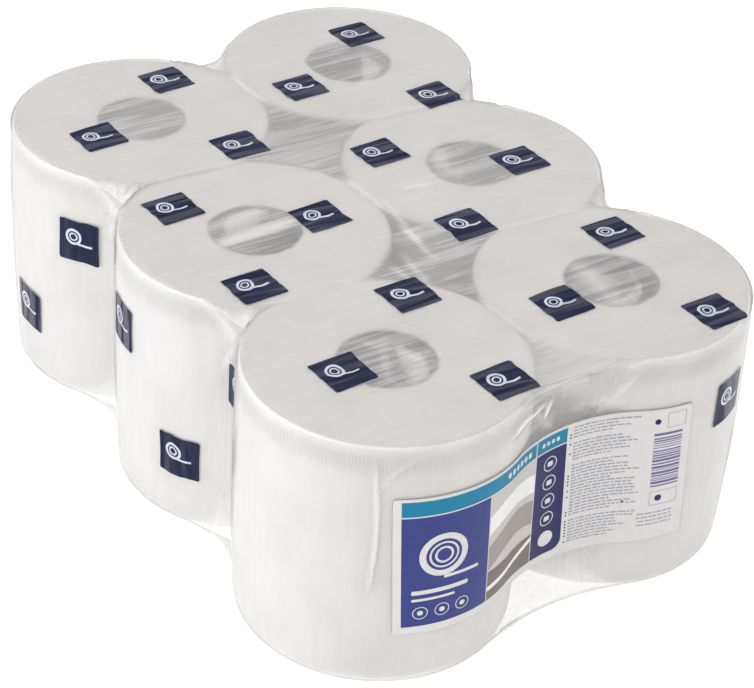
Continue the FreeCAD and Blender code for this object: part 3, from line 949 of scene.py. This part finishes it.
def made_real(piece):
    """Keeps what a piece's modifiers make as its plain mesh, and removes them."""
    evaluated = piece.evaluated_get(bpy.context.evaluated_depsgraph_get())
    mesh = bpy.data.meshes.new_from_object(evaluated)
    piece.modifiers.clear()
    piece.data = mesh


def print_on_film(name, figure, spots, lift, material):
    """Prints one figure on all the spots, as one piece."""
    points, faces = figure
    pattern = new_piece(name + "_figure", points, faces)
    piece = new_piece(name, [place for place, _, _ in spots], [])
    for label, column in (("turn", 1), ("stretch", 2)):
        attribute = piece.data.attributes.new(label, "FLOAT_VECTOR", "POINT")
        values = np.array([tuple(spot[column]) for spot in spots], np.float32)
        attribute.data.foreach_set("vector", values.ravel())
    tree, identifiers = lay_on_film("lay_" + name, material)
    modifier = piece.modifiers.new("lay", "NODES")
    modifier.node_group = tree
    settings = {"Figure": pattern, "Film": film, "Lift": lift, "Waver": PRINT_WAVER}
    for label, value in settings.items():
        modifier[identifiers[label]] = value
    made_real(piece)
    bpy.data.objects.remove(pattern)
    piece.data.polygons.foreach_set("use_smooth", [True] * len(piece.data.polygons))
    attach(piece, "root")


# Flexographic ink on film: a thin even coat, as glossy as the film, a little uneven in tone, in
# clouds 4 mm across.
def film_ink(name, light, dark):
    material, tree = new_material(name)
    place = add(tree, "ShaderNodeTexCoord").outputs["Object"]
    cloud = add(tree, "ShaderNodeTexNoise", {"Vector": place, "Scale": 260.0, "Detail": 3.0})
    tone = add(tree, "ShaderNodeMix", {0: cloud, 6: linear(dark), 7: linear(light)}, data_type="RGBA")
    # the film's folds, some 9 mm apart across the stretch lines, catch the light in bands
    fold_scale = add(tree, "ShaderNodeMapping", {"Vector": place, "Scale": (16, 110, 16)})
    folds = add(tree, "ShaderNodeTexNoise",
                {"Vector": fold_scale, "Scale": 1.0, "Detail": 0.6, "Distortion": 0.5})
    bump = add(tree, "ShaderNodeBump", {"Strength": 1.0, "Distance": 0.006, "Height": folds})
    body = add(tree, "ShaderNodeBsdfPrincipled",
               {"Base Color": tone.outputs[2], "Roughness": 0.28, "IOR": 1.5, "Normal": bump,
                "Specular IOR Level": 0.15})
    add(tree, "ShaderNodeOutputMaterial", {"Surface": body})
    return material


all_spots = head_spots() + wall_spots()
navy_ink = film_ink("navy_film_ink", "1A2344", "111931")
white_ink = film_ink("white_film_ink", "D0D4DD", "BCC2D0")
print_on_film("printed_squares", square_mesh(), all_spots, INK_LIFT, navy_ink)
print_on_film("printed_roll_ends", roll_end_mesh(), all_spots, 1.8 * INK_LIFT, white_ink)

# ------------------------------------------------------------------ label
# A wide sheet of coated paper laid round the front of the pack, from roll to roll and into the
# hollow between them. It is printed with a band, a panel with a roll's end, soft grey sheets, a
# strip of discs, and rows of fine grey lines. All of it is generic and none of it can be read.
# in millimetres, how high the label lies on the film and each print on the label, and how thick
# the label is
LABEL_LIFT = 0.12
PRINT_LIFT = 0.05
LABEL_THICKNESS = 0.08
LABEL_CORNER = 3.0
LABEL_CUTS = (161, 75)

# a chart of the film's side under the label and a little beyond it
label_levels = np.linspace(label_low.z - 2 * MM, label_high.z + 5 * MM, 59) - film_low.z
label_steps = np.linspace(LABEL_RUN[0] - 6 * MM, LABEL_RUN[1] + 5 * MM, 149)
label_chart = []
for level in label_levels:
    row, outs, _ = wall_row(level / film_height)
    row_steps = np.linalg.norm(np.diff(row, axis=0), axis=1)
    row_runs = np.concatenate([[0], np.cumsum(row_steps)])
    columns = [np.interp(label_steps, row_runs, column) for column in (*row.T, *outs.T)]
    label_chart.append(np.stack(columns, -1))
label_chart = np.array(label_chart)


def on_label(across, up, lift):
    """Places on the label, from millimetres across and up from its lower left corner."""
    across, up = np.asarray(across, float), np.asarray(up, float)
    run = LABEL_RUN[0] + (across + LABEL_SHIFT - LABEL_LEAN * up / LABEL_SIZE[1]) * MM
    tilt = (LABEL_RISE[1] - LABEL_RISE[0]) * across / LABEL_SIZE[0]
    level = label_low.z + (up + LABEL_RISE[0] + tilt) * MM
    x = np.interp(run, label_steps, np.arange(len(label_steps)))
    y = np.interp(level - film_low.z, label_levels, np.arange(len(label_levels)))
    i = np.minimum(x.astype(int), len(label_steps) - 2)
    j = np.minimum(y.astype(int), len(label_levels) - 2)
    fx, fy = (x - i)[..., None], (y - j)[..., None]
    low = label_chart[j, i] * (1 - fx) + label_chart[j, i + 1] * fx
    high = label_chart[j + 1, i] * (1 - fx) + label_chart[j + 1, i + 1] * fx
    found = low * (1 - fy) + high * fy
    wave = 0.07 * rough(across, up, 17, 31, 21) + 0.03 * rough(across, up, 6, 23, 22)
    flat = found[..., :2] + found[..., 2:] * ((lift + wave + 0.02) * MM)[..., None]
    return np.concatenate([flat, level[..., None]], -1)


def arc_shape(x, y, radius, angles):
    """Places on a circle about (x, y)."""
    return [(x + radius * math.cos(a), y + radius * math.sin(a)) for a in angles]


def box_shape(left, low, right, high, corner=0.0):
    """A rectangle's outline, with rounded corners if corner is more than nothing."""
    if corner <= 0:
        return [(left, low), (right, low), (right, high), (left, high)]
    points = []
    for x, y, start in ((right - corner, low + corner, -90), (right - corner, high - corner, 0),
                        (left + corner, high - corner, 90), (left + corner, low + corner, 180)):
        points += arc_shape(x, y, corner, [math.radians(start + 18 * part) for part in range(6)])
    return points


def disc_shape(x, y, radius):
    """A disc's outline."""
    return arc_shape(x, y, radius, np.linspace(0, 2 * math.pi, 36, False))


def ring_shapes(x, y, inner, outer):
    """A ring, as a run of four-sided pieces."""
    turns = np.linspace(0, 2 * math.pi, 49)
    return [arc_shape(x, y, inner, [a]) + arc_shape(x, y, outer, [a, b]) + arc_shape(x, y, inner, [b])
            for a, b in zip(turns[:-1], turns[1:])]


def frame_shapes(left, low, right, high, line):
    """A rectangle's outline drawn with a line, as four strips."""
    return [box_shape(left, low, right, low + line), box_shape(left, high - line, right, high),
            box_shape(left, low + line, left + line, high - line),
            box_shape(right - line, low + line, right, high - line)]


def printed_field(name, shapes, layer, material):
    """Flat shapes in label millimetres, cut into narrow strips so that they follow the label."""
    field = bmesh.new()
    for shape in shapes:
        field.faces.new([field.verts.new((x, y, 0)) for x, y in shape])
    for axis, step, limit in ((0, 2.5, LABEL_SIZE[0]), (1, 5.0, LABEL_SIZE[1])):
        for cut in np.arange(step, limit, step):
            place = (cut, 0, 0) if axis == 0 else (0, cut, 0)
            across = (1, 0, 0) if axis == 0 else (0, 1, 0)
            bmesh.ops.bisect_plane(field, geom=field.verts[:] + field.edges[:] + field.faces[:],
                                   plane_co=place, plane_no=across)
    flat = np.array([tuple(v.co) for v in field.verts])
    field.verts.index_update()
    faces = [[v.index for v in face.verts] for face in field.faces]
    field.free()
    lift = np.full(len(flat), LABEL_LIFT + PRINT_LIFT * layer)
    piece = new_piece(name, on_label(flat[:, 0], flat[:, 1], lift), faces, [material])
    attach(piece, "root")


# Coated label paper, offset printed: even colour, a low sheen, and a faint fibre cloud, 6 mm
# across.
def coated_paper(name, colour):
    material, tree = new_material(name)
    place = add(tree, "ShaderNodeTexCoord").outputs["Object"]
    cloud = add(tree, "ShaderNodeTexNoise", {"Vector": place, "Scale": 180.0, "Detail": 3.0})
    shade = add(tree, "ShaderNodeMapRange", {"Value": cloud, "To Min": 0.93, "To Max": 1.05})
    tone = add(tree, "ShaderNodeMix", {0: 1.0, 6: linear(colour), 7: shade},
               data_type="RGBA", blend_type="MULTIPLY")
    body = add(tree, "ShaderNodeBsdfPrincipled",
               {"Base Color": tone.outputs[2], "Roughness": 0.38, "IOR": 1.5,
                "Specular IOR Level": 0.2})
    add(tree, "ShaderNodeOutputMaterial", {"Surface": body})
    return material


across, up, label_faces = rounded_sheet(*LABEL_SIZE, LABEL_CORNER, *LABEL_CUTS)
across, up = across + LABEL_SIZE[0] / 2, up + LABEL_SIZE[1] / 2
label_white = coated_paper("coated_paper_white", "CAC8C6")
label = new_piece("label_sheet", on_label(across, up, np.full(across.shape, LABEL_LIFT)).reshape(-1, 3),
                  label_faces, [label_white])
thicken = label.modifiers.new("thickness", "SOLIDIFY")
thicken.thickness = LABEL_THICKNESS * MM
thicken.offset = -1
made_real(label)
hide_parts("label")
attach(label, "root")

# the print, in millimetres from the label's lower left corner
PANEL_LOW, PANEL_HIGH = 6.5, 95.0
BAND_TOP = 107.5
LEFT, PICTURE, STRIP, STRIP_END = 5.5, 69.0, 122.0, 149.5
STRIP_MIDDLE = (STRIP + STRIP_END) / 2
STRIP_CORNER = 8
GAP = 0.8
INKS = {
    "teal": "067394",
    "navy": "303876",
    "deep_navy": "1B1E52",
    "grey": "B9B6B2",
    "mid_grey": "938D88",
    "dark_grey": "6B635D",
    "pale": "DEDDDB",
    "line_grey": "9698A2",
    "bar_navy": "64628A",
}
ink = {colour: coated_paper("coated_paper_" + colour, code) for colour, code in INKS.items()}

printed_field("label_band", [box_shape(LEFT, PANEL_HIGH + 1, STRIP - 1, BAND_TOP),
                             box_shape(STRIP, PANEL_HIGH + 1, STRIP_END, BAND_TOP)], 1, ink["teal"])
printed_field("label_panel", [box_shape(LEFT, PANEL_LOW, PICTURE, PANEL_HIGH)], 1, ink["navy"])
corner = (STRIP_END - STRIP_CORNER, PANEL_LOW + STRIP_CORNER)
rounding = arc_shape(*corner, STRIP_CORNER, np.linspace(-math.pi / 2, 0, 9))
printed_field("label_strip", [box_shape(STRIP, corner[1], STRIP_END, PANEL_HIGH),
                              box_shape(STRIP, PANEL_LOW, *corner),
                              [corner] + rounding], 1, ink["deep_navy"])
picture = box_shape(PICTURE + GAP, PANEL_LOW, STRIP - GAP, PANEL_HIGH)
printed_field("label_picture", [picture], 1, ink["grey"])


def swell(start, low_left, low_right, thick, bulge):
    """A soft band across the picture: a folded sheet of paper seen edge on."""
    x = np.linspace(PICTURE + GAP, STRIP - GAP, 15)
    share = (x - x[0]) / (x[-1] - x[0])
    low = low_left + (low_right - low_left) * share + bulge * np.sin(math.pi * share + start)
    return list(zip(x, low)) + list(zip(x[::-1], (low + thick)[::-1]))


printed_field("label_sheets_pale", [swell(0.4, 60, 70, 15, 6)], 2, ink["pale"])
printed_field("label_sheets_mid", [swell(0.0, 33, 41, 20, 7)], 2, ink["mid_grey"])
printed_field("label_sheets_dark", [swell(0.0, PANEL_LOW, PANEL_LOW, 25, 0)], 2, ink["dark_grey"])
printed_field("label_sheet_edge", [swell(2.6, 13, 27, 4, 3)], 3, ink["pale"])

# the panel's roll end with its web, two bars and three discs
roll_end = (34.0, 63.0)
white_marks = []
for inner, outer in ((5.0, 6.6), (9.0, 10.4), (12.5, 17.0)):
    white_marks += ring_shapes(*roll_end, inner, outer)
white_marks += [box_shape(roll_end[0], 43.5, roll_end[0] + 26, 46.0),
                box_shape(12, 33, 52, 36.4, 1.2), box_shape(12, 27.5, 42, 29.6, 0.8)]
for x in (18, 33, 48):
    white_marks += ring_shapes(x, 17.5, 4.6, 5.2)
    white_marks.append(disc_shape(x, 17.5, 2.0))
# the strip's four rings and its disc
for number in range(4):
    y = 84 - 15.5 * number
    white_marks += ring_shapes(STRIP_MIDDLE, y, 5.2, 5.9)
    white_marks.append(box_shape(STRIP_MIDDLE - 2.4, y - 2, STRIP_MIDDLE + 2.4, y + 2, 1.0))
white_marks.append(disc_shape(STRIP_MIDDLE, 20, 6.5))
# the band's blocks
white_marks += [box_shape(86 + 5.2 * n, 99.5, 86 + 5.2 * n + 3.4, 104, 1.4) for n in range(6)]
white_marks += [box_shape(127 + 4.4 * n, 100, 127 + 4.4 * n + 2.8, 103.4, 1.2) for n in range(4)]
printed_field("label_white_marks", white_marks, 3, label_white)

lines, bullets = [], []
chance = np.random.default_rng(31)


def grey_line(left, level, length, thick):
    """A line of fine print that can't be read: a row of short strokes."""
    strokes, start = [], left
    while start < left + length:
        stroke = chance.uniform(1.6, 6.0)
        strokes.append(box_shape(start, level, min(start + stroke, left + length), level + thick))
        start += stroke + 0.9
    return strokes


# rows of fine print, with three left out between paragraphs, and a bullet before some of them
for number in range(38):
    level = 105.0 - 2.6 * number
    if number in (4, 11, 29):
        continue
    lines += grey_line(155, level, chance.uniform(28, 50), 1.15)
    if chance.uniform() < 0.6:
        bullets.append(disc_shape(152.6, level + 0.55, 0.7))
for number in range(4):
    lines += grey_line(203 + chance.uniform(0, 4), 23 - 3.2 * number, 26, 1.2)
lines += frame_shapes(213, 30, 234, 42, 0.5)
lines += frame_shapes(222, 94, 236, 106, 0.5)
printed_field("label_lines", lines, 1, ink["line_grey"])
# bars of random thickness, which encode nothing
bars = []
level = 46.0
while level < 92:
    thick = float(chance.choice([0.7, 1.2, 2.0]))
    bars.append(box_shape(213, level, 234, level + thick))
    level += thick + float(chance.choice([0.8, 1.2, 1.8]))
printed_field("label_bars", bars, 1, ink["bar_navy"])
bullets += [disc_shape(215, 100, 2.2), disc_shape(219.5, 36, 2.6), disc_shape(194, 36, 1.1)]
printed_field("label_dots", bullets, 1, ink["deep_navy"])

# ------------------------------------------------------------------ studio
# A pale floor, soft lights from the left, the front and above, and an even pale surround.
CAMERA_PLACE = Vector((-805.35, -1195.14, 1041.37)) * MM
CAMERA_YAW = 0.603
CAMERA_PITCH = 0.5947
CAMERA_ROLL = 0.0648
CAMERA_LENS = 113.25
CAMERA_SHIFT = -0.0023

camera_data = bpy.data.cameras.new("camera")
camera_data.lens = CAMERA_LENS
camera_data.sensor_width = 36
camera_data.shift_y = CAMERA_SHIFT
camera = bpy.data.objects.new("camera", camera_data)
bpy.context.scene.collection.objects.link(camera)
turn = (Matrix.Rotation(-CAMERA_YAW, 4, "Z")
        @ Matrix.Rotation(math.pi / 2 - CAMERA_PITCH, 4, "X")
        @ Matrix.Rotation(CAMERA_ROLL, 4, "Z"))
camera.matrix_world = Matrix.Translation(CAMERA_PLACE) @ turn
bpy.context.scene.camera = camera


def soft_light(name, place, size, power, colour="FFFFFF"):
    """An area light aimed at the middle of the pack. size is its width and height, in metres, power
    is in watts, and colour an sRGB hex value."""
    data = bpy.data.lights.new(name, "AREA")
    data.shape = "RECTANGLE"
    data.size, data.size_y = size
    data.energy = power
    data.color = linear(colour)[:3]
    light = bpy.data.objects.new(name, data)
    light.location = place
    aim = Vector((0, 0, 0.1)) - Vector(place)
    light.rotation_euler = aim.to_track_quat("-Z", "Y").to_euler()
    bpy.context.scene.collection.objects.link(light)


# a large cool light from the left
soft_light("key", (-2.5, -0.4, 1.0), (1.8, 1.8), 15, "F5F9FF")
# a narrow light over the front draws the bright line along the film's edge and the glints in its
# folds, and a weak one over the left rolls keeps their heads lighter than the right ones
soft_light("strip", (-0.3, -1.7, 2.3), (2.4, 0.16), 1.1)
soft_light("overhead", (-0.9, 0.0, 1.6), (1.2, 1.2), 3.6)
world = bpy.data.worlds.new("surround")
world.use_nodes = True
background = world.node_tree.nodes["Background"]
background.inputs["Color"].default_value = linear("F8F7F7")
background.inputs["Strength"].default_value = 1.045
bpy.context.scene.world = world
bpy.context.scene.view_settings.view_transform = "Standard"

# a matt white floor, lit a little from within so that it stays as pale as the surround
floor_material, floor_tree = new_material("matt_white_floor")
floor_paint = add(floor_tree, "ShaderNodeBsdfDiffuse", {"Color": linear("F2F2F2")})
floor_glow = add(floor_tree, "ShaderNodeEmission", {"Color": linear("FFFFFF"), "Strength": 0.44})
floor_sum = add(floor_tree, "ShaderNodeAddShader", {0: floor_paint, 1: floor_glow})
add(floor_tree, "ShaderNodeOutputMaterial", {"Surface": floor_sum})
FLOOR_REACH = 6
floor_corners = [(x * FLOOR_REACH, y * FLOOR_REACH, 0) for x, y in ((-1, -1), (1, -1), (1, 1), (-1, 1))]
floor = new_piece("floor", floor_corners, [(0, 1, 2, 3)], [floor_material])
